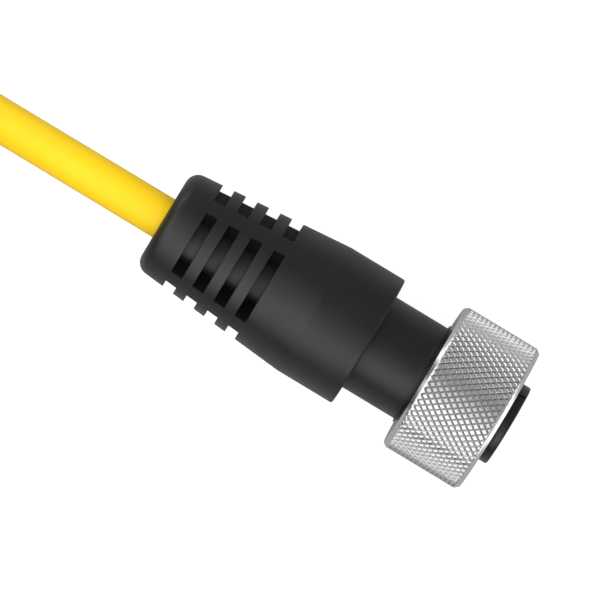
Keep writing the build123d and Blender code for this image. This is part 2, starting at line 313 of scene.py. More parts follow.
def moulded_grain():
    """Fine grain, faint clouding and a little unevenness in the gloss of moulded plastic."""
    name = "moulded_grain"
    if name in bpy.data.node_groups:
        return bpy.data.node_groups[name]
    group, given, out = effect_with(
        name, ("Colour",), ("Shade", "Grain", "Clouds", "Gloss low", "Gloss high"))
    place = add_node(group, "ShaderNodeTexCoord").outputs["Object"]
    fine = noise(group, place, given["Grain"], 3.0, 0.6)
    broad = noise(group, place, given["Clouds"], 4.0, 0.55)
    dark = add_node(group, "ShaderNodeMix", {
        FIRST: given["Colour"], SECOND: (0, 0, 0, 1)}, data_type="RGBA")
    amount = add_node(group, "ShaderNodeMath", {0: broad, 1: given["Shade"]}, operation="MULTIPLY")
    group.links.new(amount.outputs[0], dark.inputs[FACTOR])
    gloss = add_node(group, "ShaderNodeMapRange", {
        "Value": broad, "From Min": 0.3, "From Max": 0.7, "To Min": given["Gloss low"],
        "To Max": given["Gloss high"]})
    group.links.new(dark.outputs[RESULT], out["Colour"])
    group.links.new(gloss.outputs[0], out["Roughness"])
    group.links.new(fine, out["Height"])
    return group


def plated_wear():
    """Clouded plating that is duller in the grooves, and darker there than on the crests by painted shade and
    grime.
    """
    name = "plated_wear"
    if name in bpy.data.node_groups:
        return bpy.data.node_groups[name]
    group, given, out = effect_with(
        name, ("Colour", "Groove colour"), ("Crest", "Clouds", "Polish", "Dull"))
    place = add_node(group, "ShaderNodeTexCoord").outputs["Object"]
    broad = noise(group, place, given["Clouds"], 5.0, 0.6)
    fine = noise(group, place, 6000.0, 2.0, 0.5)
    uneven = add_node(group, "ShaderNodeMapRange", {
        "Value": broad, "From Min": 0.3, "From Max": 0.7, "To Min": -0.06, "To Max": 0.04})
    mask = add_node(group, "ShaderNodeMath", {
        0: given["Crest"], 1: uneven.outputs[0]}, operation="ADD", use_clamp=True)
    # Painted shade and grime: the groove colour where the crest mask is low, the plain colour on the crests
    shade = add_node(group, "ShaderNodeMix", {
        FACTOR: mask.outputs[0], FIRST: given["Groove colour"], SECOND: given["Colour"],
    }, data_type="RGBA")
    gloss = add_node(group, "ShaderNodeMapRange", {
        "Value": mask.outputs[0], "To Min": given["Dull"], "To Max": given["Polish"]})
    group.links.new(shade.outputs[RESULT], out["Colour"])
    group.links.new(gloss.outputs[0], out["Roughness"])
    group.links.new(fine, out["Height"])
    return group


def finish_with(name, group, sockets, relief, metallic=0.0, specular=0.5):
    """A material whose colour, roughness and relief come from an effect group."""
    if name in bpy.data.materials:
        return bpy.data.materials[name]
    material = bpy.data.materials.new(name)
    material.use_nodes = True
    tree = material.node_tree
    shader = tree.nodes["Principled BSDF"]
    effect = add_node(tree, "ShaderNodeGroup", node_tree=group)
    for socket, value in sockets.items():
        if socket == "Crest":
            crest = add_node(tree, "ShaderNodeAttribute", attribute_name="crest")
            tree.links.new(crest.outputs["Fac"], effect.inputs["Crest"])
        else:
            effect.inputs[socket].default_value = value
    bump = add_node(tree, "ShaderNodeBump", {
        "Height": effect.outputs["Height"], "Distance": relief, "Strength": 1.0})
    tree.links.new(effect.outputs["Colour"], shader.inputs["Base Color"])
    tree.links.new(effect.outputs["Roughness"], shader.inputs["Roughness"])
    tree.links.new(bump.outputs["Normal"], shader.inputs["Normal"])
    shader.inputs["Metallic"].default_value = metallic
    shader.inputs["Specular IOR Level"].default_value = specular
    return material


def plastic(name, colour, grain, gloss, relief, shade=0.12, specular=0.5):
    """Moulded or extruded plastic or rubber, its relief in metres."""
    return finish_with(name, moulded_grain(), {
        "Colour": (*colour, 1), "Shade": shade, "Grain": grain, "Clouds": 160.0,
        "Gloss low": gloss[0], "Gloss high": gloss[1],
    }, relief, specular=specular)


def metal(name, colour, groove, polish, dull, relief=0.0000008):
    """Plated or bare metal, with its grooves marked by the crest attribute and given the groove colour, which
    on the nut is painted shade and grime.
    """
    return finish_with(name, plated_wear(), {
        "Colour": (*colour, 1), "Groove colour": (*groove, 1), "Crest": None, "Clouds": 220.0,
        "Polish": polish, "Dull": dull,
    }, relief, metallic=1.0)


def insulation(name, colour):
    """The smooth plastic on a core."""
    return plastic(name, colour, grain=5000.0, gloss=(0.3, 0.38), relief=0.000003)


def mark_crests(made, heights):
    """Writes how high each vertex stands in its relief, from 0 in a groove to 1 on a crest, which the metal
    uses to paint its groove colour.
    """
    made.data.attributes.new("crest", "FLOAT", "POINT").data.foreach_set("value", heights)


# Grip

SPIGOT_RADIUS = 7.25 * mm
SPIGOT_LENGTH = 8.4 * mm
PREMOULD_RADIUS = 6.25 * mm
PREMOULD_REAR = 21.5 * mm
WINDOWS_ROUND = 4
GRIP_COLUMNS = 288

class CONNECTOR_OT_grip(bpy.types.Operator):
    """Makes the moulded grip with its windowed strain relief"""
    bl_idname = "connector_cable.grip"
    bl_label = "Grip"

    def execute(self, context):
        sizes, colours = context.scene.grip_sizes, context.scene.finishes
        cable = context.scene.cable_sizes.diameter / 2
        shoulder = sizes.taper_length + sizes.barrel_length
        spigot_rear = neck_end - SPIGOT_LENGTH
        edges = [
            sizes.first_window + row * sizes.window_pitch + side * sizes.window_width / 2
            for row in range(sizes.window_rows) for side in (-1, 1)
        ]
        slope = (sizes.barrel_radius - sizes.rear_radius) / sizes.taper_length
        corners = [(0, cable, 0.15 * mm), (0, sizes.rear_radius, sizes.rear_round)]
        corners += [(s, sizes.rear_radius + slope * s, 0) for s in edges]
        corners += [
            (sizes.taper_length, sizes.barrel_radius, 0.25 * mm),
            (shoulder, sizes.barrel_radius, 0.35 * mm),
            (shoulder, sizes.neck_radius, 0.12 * mm),
            (neck_end, sizes.neck_radius, 0.15 * mm),
            (neck_end, SPIGOT_RADIUS, 0), (spigot_rear, SPIGOT_RADIUS, 0),
            (spigot_rear, PREMOULD_RADIUS, 0), (PREMOULD_REAR, PREMOULD_RADIUS, 0),
            (PREMOULD_REAR, cable, 0),
        ]
        profile = rounded(corners, 7)
        columns = GRIP_COLUMNS
        window_columns = round(columns * sizes.window_arc / (2 * pi))
        first = pi / 2 + sizes.window_turn - sizes.window_arc / 2
        verts = [on_axis(p.x, p.y, first + 2 * pi * c / columns) for p in profile for c in range(columns)]
        starts = set()
        for edge in edges[::2]:
            away = [abs(p.x - edge) + (p.y < PREMOULD_RADIUS) for p in profile]
            starts.add(away.index(min(away)))
        quarter = columns // WINDOWS_ROUND
        faces = []
        for row in range(len(profile)):
            ring = band(row * columns, (row + 1) % len(profile) * columns, columns)
            if row in starts:
                ring = [face for column, face in enumerate(ring) if column % quarter >= window_columns]
            faces += ring
        for row in starts:
            for window in range(WINDOWS_ROUND):
                floors = []
                for step in range(window_columns + 1):
                    turn = first + 2 * pi * (window * quarter + step) / columns
                    floors.append(len(verts))
                    for side in (row, row + 1):
                        verts.append(on_axis(profile[side].x, sizes.window_core, turn))
                rims = [row * columns + window * quarter + step for step in range(window_columns + 1)]
                for step in range(window_columns):
                    low, high = floors[step], floors[step + 1]
                    rim, next_rim = rims[step], rims[step + 1]
                    faces.append((low, high, high + 1, low + 1))
                    faces.append((low, high, next_rim, rim))
                    faces.append((low + 1, high + 1, next_rim + columns, rim + columns))
                for low, rim in ((floors[0], rims[0]), (floors[-1], rims[-1])):
                    faces.append((low, low + 1, rim + columns, rim))
        black = plastic("grip_elastomer", colours.grip, grain=5200.0, gloss=(0.34, 0.44), relief=0.000005)
        made = piece("strain_relief_grip", verts, faces, [black], sharp=50, slot="overmold")
        eased_edges(made, sizes.window_round, sizes.window_core + 1 * mm)
        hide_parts("grip")
        return {"FINISHED"}


# Socket insert, seal and contacts

CONTACTS = 5

def plate(outlines, back, front, edge):
    """A mesh with flat faces square to the axis, from closed (y, z) outlines: the rim, then its holes."""
    curve = bpy.data.curves.new("outline", "CURVE")
    curve.dimensions, curve.fill_mode = "2D", "BOTH"
    curve.extrude = (front - back) / 2 - edge
    curve.bevel_depth, curve.bevel_resolution, curve.offset = edge, 2, -edge
    for number, outline in enumerate(outlines):
        spline = curve.splines.new("POLY")
        spline.points.add(len(outline) - 1)
        for point, (y, z) in zip(spline.points, outline if number == 0 else outline[::-1]):
            point.co = (y, z, 0, 1)
        spline.use_cyclic_u = True
    mesh = evaluated("outline", curve)
    middle = rear_x + (back + front) / 2
    mesh.transform(Matrix(((0, 0, 1, middle), (1, 0, 0, 0), (0, 1, 0, axis_z), (0, 0, 0, 1))))
    verts = [v.co.copy() for v in mesh.vertices]
    faces = [tuple(p.vertices) for p in mesh.polygons]
    bpy.data.meshes.remove(mesh)
    return verts, faces


def welded(parts):
    """Several meshes' vertices and faces as one."""
    verts, faces = [], []
    for more_verts, more_faces in parts:
        faces += [tuple(v + len(verts) for v in face) for face in more_faces]
        verts += more_verts
    return verts, faces


def circle(radius, steps, centre=(0, 0)):
    """The points of a circle."""
    turns = [2 * pi * k / steps for k in range(steps)]
    return [(centre[0] + radius * cos(turn), centre[1] + radius * sin(turn)) for turn in turns]


class CONNECTOR_OT_insert(bpy.types.Operator):
    """Makes the socket insert with its keyway and entries, its seal, and the contacts' finish"""
    bl_idname = "connector_cable.insert"
    bl_label = "Socket insert"

    def execute(self, context):
        sizes, colours = context.scene.insert_sizes, context.scene.finishes
        half = asin(sizes.keyway_width / 2 / sizes.radius)
        start, steps = sizes.keyway_turn + half, 132
        rim = []
        for k in range(steps + 1):
            turn = start + (2 * pi - 2 * half) * k / steps
            rim.append((sizes.radius * cos(turn), sizes.radius * sin(turn)))
        floor = sizes.radius - sizes.keyway_depth
        for side in (-1, 1):
            across = Vector((floor, side * sizes.keyway_width / 2))
            across.rotate(Matrix.Rotation(sizes.keyway_turn, 2))
            rim.append(tuple(across))
        places = []
        for number in range(CONTACTS):
            turn = sizes.keyway_turn + 2 * pi / CONTACTS * (number + 0.5)
            places.append((sizes.circle_radius * cos(turn), sizes.circle_radius * sin(turn)))
        body_back = flange_front + sizes.seal_section
        entry_back = mating_face - sizes.entry_depth
        seam, seam_edge, core_hole = 0.01 * mm, 0.02 * mm, 0.5 * mm
        groove = sizes.radius - sizes.groove_depth
        entries = [circle(sizes.entry_radius, 40, p) for p in places]
        bores = [circle(sizes.bore_radius, 40, p) for p in places]
        front = plate([rim] + entries, entry_back - sizes.edge, mating_face, sizes.edge)
        body = plate([rim] + bores, body_back, entry_back - seam, seam_edge)
        core = turned([Vector(p) for p in (
            (flange_front, core_hole), (flange_front, groove), (body_back, groove), (body_back, core_hole),
        )], 96)
        black = plastic("insert_plastic", colours.insert, grain=5200.0, gloss=(0.28, 0.36), relief=0.000004)
        made = piece("keyed_insert", *welded([front, body, core]), [black], slot="carrier")
        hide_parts("socket_insert")

        squeezed = 0.49 * sizes.seal_section
        middle = (flange_front + sizes.seal_section / 2, groove + sizes.seal_section / 2)
        ring = [Vector(p) for p in circle(squeezed, 20, middle)]
        rubber = plastic("seal_rubber", colours.seal, grain=3000.0, gloss=(0.3, 0.4), relief=0.000004)
        seal = piece("front_seal", *turned(ring, 144), [rubber], sharp=60, slot="seal")
        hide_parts("sealing_ring")

        gold = metal("contact_gold", colours.gold, colours.gold_shade, polish=0.22, dull=0.3)
        for number in range(1, CONTACTS + 1):
            dress(f"socket_contact_{number}", gold)
        for name in ("contact_carrier", "premould"):
            dress(name, black)
        return {"FINISHED"}


def dress(node, material):
    """Gives a CAD node its material."""
    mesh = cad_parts[node].data
    mesh.materials.clear()
    mesh.materials.append(material)


# Coupling nut

def knurl_height(u, v, groove):
    """The height of a knurl cut by two sets of V grooves, from 0 in a groove to 1 on a diamond."""
    near = min(u % 1, -u % 1, v % 1, -v % 1)
    crown = (1 - (2 * (u % 1) - 1) ** 2) * (1 - (2 * (v % 1) - 1) ** 2)
    return 0.98 * min(1, near / groove) + 0.02 * crown


class CONNECTOR_OT_nut(bpy.types.Operator):
    """Makes the knurled coupling nut with its internal thread, and the slip washer behind it"""
    bl_idname = "connector_cable.nut"
    bl_label = "Coupling nut"

    def execute(self, context):
        sizes, colours = context.scene.nut_sizes, context.scene.finishes
        radius = (nut_high.z - nut_low.z) / 2
        # Parts of the grid from one groove to the next, and how many of them a groove's side takes
        starts, fine, slope = sizes.knurl_starts, 8, 2
        columns = starts * fine
        folds = (0, slope, fine - slope)
        period = 2 * pi * radius / starts / tan(sizes.knurl_angle)
        rows = round((nut_front - nut_rear) / period * fine)
        step = (nut_front - nut_rear) / rows
        thread_wall, washer_gap, plain_height = 0.2 * mm, 0.2 * mm, 0.75
        relief_radius = sizes.bore_radius + sizes.thread_depth + thread_wall

        verts, heights, faces = [], [], []
        for row in range(rows + 1):
            station = nut_rear + row * step
            end = min(station - nut_rear, nut_front - station)
            envelope = radius - sizes.chamfer_depth * max(0.0, 1 - end / sizes.chamfer)
            fade = min(1.0, max(0.0, (end - sizes.chamfer) / sizes.knurl_fade))
            for column in range(columns):
                u, v = (column - row) / fine, (column + row) / fine
                height = knurl_height(u, v, slope / fine)
                cut = radius - sizes.knurl_depth * (1 - height) * fade
                verts.append(on_axis(station, min(envelope, cut), 2 * pi * column / columns))
                heights.append(height if cut < envelope else 1.0)
        for row in range(rows):
            for column in range(columns):
                beside = (column + 1) % columns
                a, b = row * columns + column, row * columns + beside
                c, d = a + columns, b + columns
                if (column - row) % fine in folds or (column + 1 + row) % fine not in folds:
                    faces += [(a, b, d), (a, d, c)]
                else:
                    faces += [(a, b, c), (b, d, c)]
        inner_wall = nut_rear + sizes.rear_wall
        thread_back = inner_wall + 1.1 * mm
        ring = rounded([
            (nut_front, relief_radius, 0), (inner_wall, relief_radius, 0),
            (inner_wall, sizes.rear_hole, 0.12 * mm), (nut_rear, sizes.rear_hole, 0.12 * mm),
        ], 2)
        loops = [rows * columns]
        for point in ring:
            loops.append(len(verts))
            verts += [on_axis(point.x, point.y, 2 * pi * c / columns) for c in range(columns)]
            heights += [plain_height] * columns
        for here, after in zip(loops, loops[1:] + [0]):
            faces += band(here, after, columns)
        nickel = metal("nut_nickel", colours.nickel, colours.nickel_groove_shade_and_grime, polish=0.2, dull=0.4)
        nut = piece("knurled_nut", verts, faces, [nickel], sharp=30, body="nut", slot="nut")
        # Painted shade and grime: the knurl's grooves take the darker nickel, and the plain inner faces a
        # quarter of it
        mark_crests(nut, heights)
        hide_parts("coupling_nut")

        ring = thread_ring(sizes, thread_back, relief_radius)
        thread = piece("nut_thread", *ring, [nickel], sharp=25, body="nut", slot="nut")
        # Painted shade and grime: the thread's roots take the darker nickel, its crests the plain nickel
        mark_crests(thread, [
            1 - (radius_of(v.co) - sizes.bore_radius) / sizes.thread_depth for v in thread.data.vertices
        ])

        low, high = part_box("slip_washer")
        back, front = low.x - rear_x, high.x - rear_x
        inner = sizes.rear_hole - washer_gap
        outer = (high.z - low.z) / 2
        washer = turned(rounded([
            (back, inner, 0), (back, outer, 0.08 * mm), (front, outer, 0.08 * mm), (front, inner, 0)], 3))
        steel = metal("washer_steel", colours.washer, colours.washer, polish=0.2, dull=0.3)
        made = piece("thin_washer", *washer, [steel], body="washer", slot="washer")
        mark_crests(made, [1.0] * len(made.data.vertices))
        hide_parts("slip_washer")
        return {"FINISHED"}


def thread_ring(sizes, back, outer):
    """Vertices and faces of a ring with the internal thread, whose turns run out at its two ends."""
    columns, fine = 144, 12
    flat = {0: 0.0, 3: 0.0, 7: 1.0, 8: 1.0, 12: 0.0}
    keys = sorted(flat)
    shape = bmesh.new()
    grid = {}
    first = int((back - nut_rear) / sizes.thread_pitch * fine) - 2 * fine
    last = int((nut_front - nut_rear) / sizes.thread_pitch * fine) + 2 * fine
    for row in range(first, last):
        phase = row % fine
        low = max(k for k in keys if k <= phase)
        high = min(k for k in keys if k > phase)
        depth = flat[low] + (flat[high] - flat[low]) * (phase - low) / (high - low)
        for column in range(columns + 1):
            station = nut_rear + sizes.thread_pitch * (row / fine + column / columns)
            mouth = sizes.bore_radius + sizes.lead_in - (nut_front - station)
            radius = max(sizes.bore_radius + sizes.thread_depth * depth, mouth)
            grid[row, column] = shape.verts.new(on_axis(station, radius, 2 * pi * column / columns))
    for row in range(first, last - 1):
        for column in range(columns):
            shape.faces.new((
                grid[row, column], grid[row, column + 1], grid[row + 1, column + 1], grid[row + 1, column]))
    bmesh.ops.remove_doubles(shape, verts=shape.verts, dist=0.001 * mm)
    for station, outward in ((back, -1), (nut_front - 0.01 * mm, 1)):
        bmesh.ops.bisect_plane(
            shape, geom=shape.verts[:] + shape.edges[:] + shape.faces[:], dist=0.0001 * mm,
            plane_co=(rear_x + station, 0, 0), plane_no=(outward, 0, 0), clear_outer=True)
    rim = [e for e in shape.edges if e.is_boundary]
    grown = bmesh.ops.extrude_edge_only(shape, edges=rim)["geom"]
    for vert in (g for g in grown if isinstance(g, bmesh.types.BMVert)):
        away = Vector((0, vert.co.y, vert.co.z - axis_z))
        vert.co += away.normalized() * (outer - away.length)
    bmesh.ops.bridge_loops(shape, edges=[e for e in shape.edges if e.is_boundary])
    return from_bmesh(shape)


# Cable, hank and leads, whose places are in millimetres until they are laid

# Where the jacket ends inside the grip, and the cable's runs out, down to the floor, along it and in
JACKET_END = 24.0
EXIT_RUN = 13.6
DESCENT = 24.2
FLOOR_RUN = 16.0
ENTRY_RUN = 27.0
FOLD_DIAMETERS = 3
INNER_TURNS = 4
ALL_TURNS = 7
TIE_FROM_FOLD = 21.0
SEAT_GAP = 0.05
CORE_LAY_RADIUS = 1.68

def smooth_step(share):
    """0 before the start, 1 after the end, and an easy curve between."""
    share = min(max(share, 0.0), 1.0)
    return share * share * (3 - 2 * share)


def laid_curve(name, points, diameter, material, sides):
    """A round cord along one NURBS spline with these control points, in metres."""
    data = bpy.data.curves.new(name, "CURVE")
    data.dimensions = "3D"
    data.bevel_depth, data.bevel_resolution = diameter / 2, sides
    data.use_fill_caps = True
    data.resolution_u = 5
    spline = data.splines.new("NURBS")
    spline.points.add(len(points) - 1)
    for point, place in zip(spline.points, points):
        point.co = (*place, 1)
    spline.order_u = 3
    spline.use_endpoint_u = True
    data.materials.append(material)
    made = bpy.data.objects.new(name, data)
    bpy.context.scene.collection.objects.link(made)
    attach(made, "connector")
    return made


def cable_route():
    """Where the cable starts, bends down, lands, meets the hank and first folds, along X."""
    start = rear_x / mm + JACKET_END
    bend = rear_x / mm - EXIT_RUN
    touch = bend - DESCENT
    entry = touch - FLOOR_RUN
    fold = entry - ENTRY_RUN
    return start, bend, touch, entry, fold


def hank_points(cable, tie_lift):
    """The control points of the wound turns: up the inner column and down the outer one."""
    diameter, gap = cable.diameter / mm, cable.turn_gap / mm
    pitch = diameter + gap
    rest = diameter / 2 + cable.rest_gap / mm
    front = cable_route()[-1]
    rear = front - cable.hank_straight / mm
    middle = -FOLD_DIAMETERS * diameter
    tie = rear + TIE_FROM_FOLD
    # Along a straight side, with the share of a tie's thickness that lifts the turns there
    stations = [
        (front - 6, 0), (front - 18, 0), (tie + 13, 0.5), (tie + 3.5, 1), (tie - 3.5, 1), (tie - 13, 0.45)]
    arc_step = 15
    arc = [arc_step * (k + 0.5) for k in range(12)]
    push = 1 / cos(radians(arc_step / 2))
    # Runs over which the cable climbs a layer, comes down one and moves to the outer column
    run_in, drop_start, drop_run, shift_run = 10.0, 45.0, 38.0, 40.0
    points = []
    for turn in range(ALL_TURNS):
        inner = turn < INNER_TURNS
        crossing = turn == INNER_TURNS - 1
        layer = turn if inner else ALL_TURNS - turn
        settled = turn if inner else ALL_TURNS - 1 - turn
        radius = FOLD_DIAMETERS * diameter + (0 if inner else pitch)
        drop = radians(90 - drop_start) * radius + drop_run
        for x, lift in stations:
            done = 1 if inner else smooth_step((drop - drop_run + front - x) / drop)
            height = layer + (settled - layer) * done
            points.append((x, middle + radius, rest + pitch * height + lift * tie_lift))
        for degrees in arc:
            way = radians(90 + degrees)
            points.append((
                rear + radius * push * cos(way), middle + radius * push * sin(way), rest + pitch * settled))
        rise = run_in + radians(150) * radius
        for x, lift in reversed(stations):
            out, up = 0.0, 0.0
            if crossing:
                out = pitch * smooth_step((x - front + shift_run) / shift_run)
            elif inner:
                up = smooth_step((x - front + run_in) / rise)
            points.append((x, middle - radius - out, rest + pitch * (settled + up) + lift * tie_lift))
        if turn == ALL_TURNS - 1:
            break
        if crossing:
            radius += pitch
        for degrees in arc:
            way = radians(degrees - 90)
            if inner and not crossing:
                level = settled + smooth_step((run_in + radians(degrees) * radius) / rise)
            else:
                drop = radians(90 - drop_start) * radius + drop_run
                level = settled - smooth_step(radians(degrees - 90 - drop_start) * radius / drop)
            points.append((
                front + radius * push * cos(way), middle + radius * push * sin(way), rest + pitch * level))
    points += [(front + 6, points[-1][1], rest), (front + 22, points[-1][1], rest)]
    return points


# Each lead's place in the cable's section, its offsets at these steps from the jacket, and its colour
LEAD_STEPS = (24, 33, 40)
LEADS = {
    "lead_black": (162, (-2.5, -2.65, -2.3), (0.012, 0.012, 0.012)),
    "lead_blue": (234, (1.6, 2.7, 3.7), (0.01, 0.09, 0.42)),
    "lead_green_yellow": (90, (4.1, 6.3, 8.2), (0.03, 0.3, 0.06)),
    "lead_brown": (306, (6.6, 9.7, 12.3), (0.11, 0.035, 0.015)),
    "lead_white": (18, (10.9, 14.7, 17.6), (0.85, 0.85, 0.82)),
}


class CONNECTOR_OT_cable(bpy.types.Operator):
    """Lays the cable from the grip into its hank, with the flying leads and their bare strands"""
    bl_idname = "connector_cable.cable"
    bl_label = "Cable"

    def execute(self, context):
        cable, colours = context.scene.cable_sizes, context.scene.finishes
        rest = cable.diameter / 2 / mm + cable.rest_gap / mm
        start, bend, touch, entry, fold = cable_route()
        height = axis_z / mm
        line = [
            (start, 0, height), (rear_x / mm, 0, height), (bend, 0, height), (touch, 0, rest),
            (entry, 0, rest), (entry - 14, 0, rest),
        ]
        line += hank_points(cable, cable.tie_thickness / mm + SEAT_GAP)
        jacket = plastic(
            "jacket_yellow", colours.jacket, grain=2600.0, gloss=(0.34, 0.44), relief=0.000006, shade=0.05,
            specular=0.25)
        line_in_metres = [tuple(c * mm for c in p) for p in line]
        made = laid_curve("jacketed_cable", line_in_metres, cable.diameter, jacket, sides=7)
        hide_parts("cable_run", "cable_hank")

        tail = Vector(line[-1])
        core_rest = cable.core_diameter / 2 / mm + cable.rest_gap / mm
        leads, tips = [], []
        for name, (section, offsets, colour) in LEADS.items():
            y = tail.y + CORE_LAY_RADIUS * cos(radians(section))
            z = tail.z + CORE_LAY_RADIUS * sin(radians(section))
            points = [(tail.x - 1, y, z), (tail.x + 9, y, z)]
            for step, offset in zip(LEAD_STEPS, offsets):
                points.append((tail.x + step, tail.y + offset, core_rest))
            points = [tuple(c * mm for c in p) for p in points]
            tips.append((Vector(points[-1]), (Vector(points[-1]) - Vector(points[-2])).normalized()))
            cover = insulation(name.replace("lead_", "") + "_insulation", colour)
            lead = laid_curve("flying_" + name, points, cable.core_diameter, cover, sides=4)
            if name == "lead_green_yellow":
                yellow = insulation("yellow_stripe", colours.stripe)
                lead = striped(lead, cable.core_diameter / 2, cover, yellow)
            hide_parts(name)
            leads.append(lead)
        copper = metal("strand_copper", colours.copper, colours.copper_shade, polish=0.25, dull=0.35)
        strands = piece("bare_strands", *twisted_strands(tips, cable), [copper], sharp=60, slot="copper")
        strand_height = 0.85
        mark_crests(strands, [strand_height] * len(strands.data.vertices))
        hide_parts("strand_tips")
        leads.append(strands)
        for number, name in enumerate(LEADS):
            dress(f"core_{number + 1}", bpy.data.materials[name.replace("lead_", "") + "_insulation"])
        return {"FINISHED"}


def striped(lead, radius, green, yellow):
    """The green and yellow lead as a mesh, with two yellow stripes that wind slowly round it."""
    sides, winding = 24, 0.012
    stripe_every, stripe_sides = 12, 4
    name = lead.name
    bare = lead.data.copy()
    bare.bevel_depth, bare.use_fill_caps = 0, False
    line = [v.co.copy() for v in evaluated("line", bare).vertices]
    bpy.data.objects.remove(lead)
    verts, faces = [], []
    for number, place in enumerate(line):
        ahead = (line[min(number + 1, len(line) - 1)] - line[max(number - 1, 0)]).normalized()
        side = ahead.cross(Vector((0, 0, 1))).normalized()
        up = side.cross(ahead)
        for k in range(sides):
            turn = 2 * pi * (k / sides + winding * number)
            verts.append(place + radius * (side * cos(turn) + up * sin(turn)))
    for ring in range(len(line) - 1):
        faces += band(ring * sides, (ring + 1) * sides, sides)
    is_yellow = [k % sides % stripe_every < stripe_sides for k in range(len(faces))]
    for ring in (0, len(line) - 1):
        faces.append(tuple(ring * sides + k for k in range(sides)))
        is_yellow.append(False)
    made = piece(name, verts, faces, [green, yellow], sharp=60, slot="green_yellow_core")
    for face, on_stripe in zip(made.data.polygons, is_yellow):
        face.material_index = int(on_stripe)
    return made


def twisted_strands(tips, cable):
    """Nineteen fine strands at each lead's tip, in a slow twist and a little spread at the end."""
    steps, sides = 12, 7
    twist, splay, hidden = 0.55, 0.1, 0.5 * mm
    fine = cable.strand_bundle / 5
    verts, faces = [], []
    for tip, ahead in tips:
        side = ahead.cross(Vector((0, 0, 1))).normalized()
        up = side.cross(ahead)
        for out, count in ((0, 1), (2 * fine, 6), (4 * fine, 12)):
            for number in range(count):
                base = len(verts)
                for step in range(steps + 1):
                    share = step / steps
                    turn = 2 * pi * (number / count + twist * share)
                    spread = 1 + splay * share * share
                    centre = tip + ahead * (share * cable.strand_length - hidden)
                    centre += out * spread * (side * cos(turn) + up * sin(turn))
                    for k in range(sides):
                        way = 2 * pi * k / sides
                        verts.append(centre + fine * (side * cos(way) + up * sin(way)))
                for step in range(steps):
                    faces += band(base + step * sides, base + (step + 1) * sides, sides)
                for end in (base, base + steps * sides):
                    faces.append(tuple(end + k for k in range(sides)))
    return verts, faces


# Ties, whose places are in millimetres until their meshes are made

def turns_left(first, second, third):
    """Whether three (y, z) points turn left at the second."""
    rise = (second[0] - first[0]) * (third[1] - first[1])
    fall = (second[1] - first[1]) * (third[0] - first[0])
    return rise > fall

def hull(points):
    """The convex outline round some (y, z) points, anticlockwise."""
    points = sorted(set(points))
    sides = []
    for order in (points, points[::-1]):
        side = []
        for point in order:
            while len(side) > 1 and not turns_left(side[-2], side[-1], point):
                side.pop()
            side.append(point)
        sides += side[:-1]
    return sides


class CONNECTOR_OT_ties(bpy.types.Operator):
    """Makes the two straps that hold the hank, each with its head and cut tail"""
    bl_idname = "connector_cable.ties"
    bl_label = "Ties"

    def execute(self, context):
        cable, colours = context.scene.cable_sizes, context.scene.finishes
        diameter, pitch = cable.diameter / mm, (cable.diameter + cable.turn_gap) / mm
        rest = diameter / 2 + cable.rest_gap / mm + cable.tie_thickness / mm + SEAT_GAP
        strap_gap = 0.02
        top = rest + (INNER_TURNS - 1) * pitch + diameter / 2 + strap_gap
        tie_x = cable_route()[-1] - cable.hank_straight / mm + TIE_FROM_FOLD
        nylon = plastic("tie_nylon", colours.tie, grain=3500.0, gloss=(0.3, 0.4), relief=0.000005)
        for number, side in ((1, 1), (2, -1)):
            inner = -FOLD_DIAMETERS * diameter + side * FOLD_DIAMETERS * diameter
            turns = [(inner, rest + pitch * k) for k in range(INNER_TURNS)]
            turns += [(inner + side * pitch, rest + pitch * k) for k in range(ALL_TURNS - INNER_TURNS)]
            parts = [strap(turns, diameter / 2 + strap_gap, tie_x, cable)]
            parts += head(tie_x, inner, top, side, cable)
            made = piece(f"tie_band_{number}", *welded(parts), [nylon], sharp=40, slot="tie")
            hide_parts(f"tie_{number}")
        return {"FINISHED"}


def strap(turns, radius, tie_x, cable):
    """A strap pulled tight round some turns of cable, with a shallow channel along its outside."""
    half, thick, ease = cable.tie_width / 2 / mm, cable.tie_thickness / mm, 0.3
    rail, channel_foot, channel, longest = 1.2, 1.3, 0.15, 1.2
    section = [
        (-half + ease, 0), (half - ease, 0), (half, ease), (half, thick - ease), (half - ease, thick),
        (half - rail, thick), (half - channel_foot, thick - channel), (-half + channel_foot, thick - channel),
        (-half + rail, thick), (-half + ease, thick), (-half, thick - ease), (-half, ease),
    ]
    outline = hull([point for turn in turns for point in circle(radius, 48, turn)])
    dense = []
    for here, after in zip(outline, outline[1:] + outline[:1]):
        gap = Vector(after) - Vector(here)
        pieces = max(1, round(gap.length / longest))
        dense += [tuple(Vector(here) + gap * k / pieces) for k in range(pieces)]
    verts, faces = [], []
    for number, point in enumerate(dense):
        ahead = Vector(dense[(number + 1) % len(dense)]) - Vector(dense[number - 1])
        out = Vector((ahead.y, -ahead.x)).normalized()
        for along, height in section:
            verts.append(Vector((tie_x + along, point[0] + out.x * height, point[1] + out.y * height)) * mm)
    count = len(section)
    for ring in range(len(dense)):
        faces += band(ring * count, (ring + 1) % len(dense) * count, count)
    return verts, faces


def block(centre, size, ease):
    """A box with rounded edges, in metres from millimetres."""
    shape = bmesh.new()
    bmesh.ops.create_cube(shape, size=1)
    for vert in shape.verts:
        vert.co = Vector(a * b for a, b in zip(vert.co, size))
    bmesh.ops.bevel(shape, geom=shape.edges[:], offset=ease, segments=3, affect="EDGES", profile=0.5)
    for vert in shape.verts:
        vert.co = (vert.co + Vector(centre)) * mm
    return from_bmesh(shape)


def head(tie_x, y, top, side, cable):
    """The tie's ratchet head on top of the bundle, its pawl, and the cut end of its strap."""
    tail_width = cable.tie_width / mm - 0.2
    tail_thickness = cable.tie_thickness / mm
    return [
        block(centre=(tie_x, y, top + 2.2), size=(6.6, 6.4, 4.2), ease=0.7),
        block(centre=(tie_x, y + side * 1.4, top + 4.35), size=(3.6, 1.5, 0.6), ease=0.2),
        block(centre=(tie_x, y - side * 0.9, top + 4.6), size=(tail_width, tail_thickness, 3.4), ease=0.25),
    ]


# Stage

